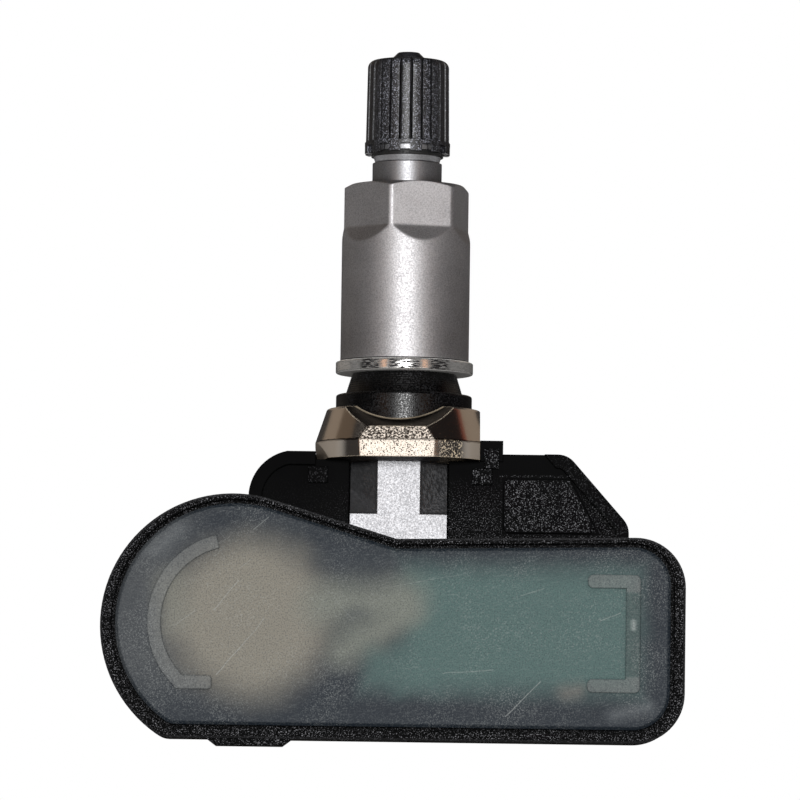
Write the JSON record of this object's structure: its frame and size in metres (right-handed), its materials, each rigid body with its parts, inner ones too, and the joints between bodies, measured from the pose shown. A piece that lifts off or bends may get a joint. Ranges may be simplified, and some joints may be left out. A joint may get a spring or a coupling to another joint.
{
  "type": "tyre pressure sensor",
  "caption": "Clamp-in tyre pressure sensor: drop-shaped black housing with a frosted window over cell and board, and a metal valve with cap, sleeve nut, washer, rubber grommet and collar.",
  "frame": {"origin": "on the valve's axis at the seat of the rubber flange, where the wheel rim lies", "axes": "+Z along the valve, out of the wheel; -Y towards the window; +X along the housing's box end"},
  "size_m": [0.0655, 0.0194, 0.0793],
  "materials": {
    "cap_plastic": "fine spark-eroded black",
    "seal_rubber": "moulded",
    "stem_alloy": "satin anodised",
    "core_brass": "turned",
    "spring_steel": "drawn",
    "nut_alloy": "bead-blasted satin",
    "washer_plate": "bright plated",
    "grommet_rubber": "moulded, slightly glossy",
    "collar_plate": "warm nickel plate over a cast surface",
    "housing_plastic": "grained black, glass filled",
    "cover_plastic": "frosted translucent",
    "cell_steel": "satin",
    "strip_nickel": "satin",
    "board_green": "solder resist",
    "chip_plastic": "moulded",
    "capacitor_ceramic": "fired ceramic"
  },
  "bodies": {
    "sensor": {"valve_stem": "stem_alloy", "core_plug": "core_brass", "core_barrel": "core_brass", "core_seal": "seal_rubber", "core_spring": "spring_steel", "grommet": "grommet_rubber", "collar": "collar_plate", "retaining_screw": "spring_steel", "housing": "housing_plastic", "window_cover": "cover_plastic", "battery": "cell_steel", "battery_tab_front": "strip_nickel", "battery_tab_side": "strip_nickel", "pcb": "board_green", "sensor_chip": "chip_plastic", "port_seal": "seal_rubber", "lf_coil": "chip_plastic", "crystal": "strip_nickel", "chip_capacitors": "capacitor_ceramic"},
    "cap_insert": {"cap_seal": "seal_rubber"},
    "cap": {"valve_cap": "cap_plastic"},
    "clamp_washer": {"washer": "washer_plate"},
    "clamp_nut": {"sleeve_nut": "nut_alloy"},
    "valve_pin": {"core_pin": "core_brass"}
  },
  "joints": [
    {"name": "cap_lift", "type": "slide", "parent": "sensor", "child": "cap_insert", "axis": [0, 0, 1], "range_m": [0, 0.00953]},
    {"name": "cap_turn", "type": "hinge", "parent": "cap_insert", "child": "cap", "pos_m": [0, 0, 0.033], "axis": [0, 0, 1], "range_deg": [0, 4320]},
    {"name": "washer_rise", "type": "slide", "parent": "sensor", "child": "clamp_washer", "axis": [0, 0, 1], "range_m": [0, 0.003]},
    {"name": "nut_turn", "type": "hinge", "parent": "clamp_washer", "child": "clamp_nut", "pos_m": [0, 0, 0.014], "axis": [0, 0, 1], "range_deg": [0, 1080]},
    {"name": "core_pin_press", "type": "slide", "parent": "sensor", "child": "valve_pin", "axis": [0, 0, -1], "range_m": [0, 0.0012], "stiffness_N_per_m": 300, "springref_m": -0.001, "deforming": ["core_spring"]}
  ],
  "couplings": [
    {"joint": "cap_turn", "follows": "cap_lift", "rad_per_m": 7913.3},
    {"joint": "nut_turn", "follows": "washer_rise", "rad_per_m": 6283.2}
  ]
}
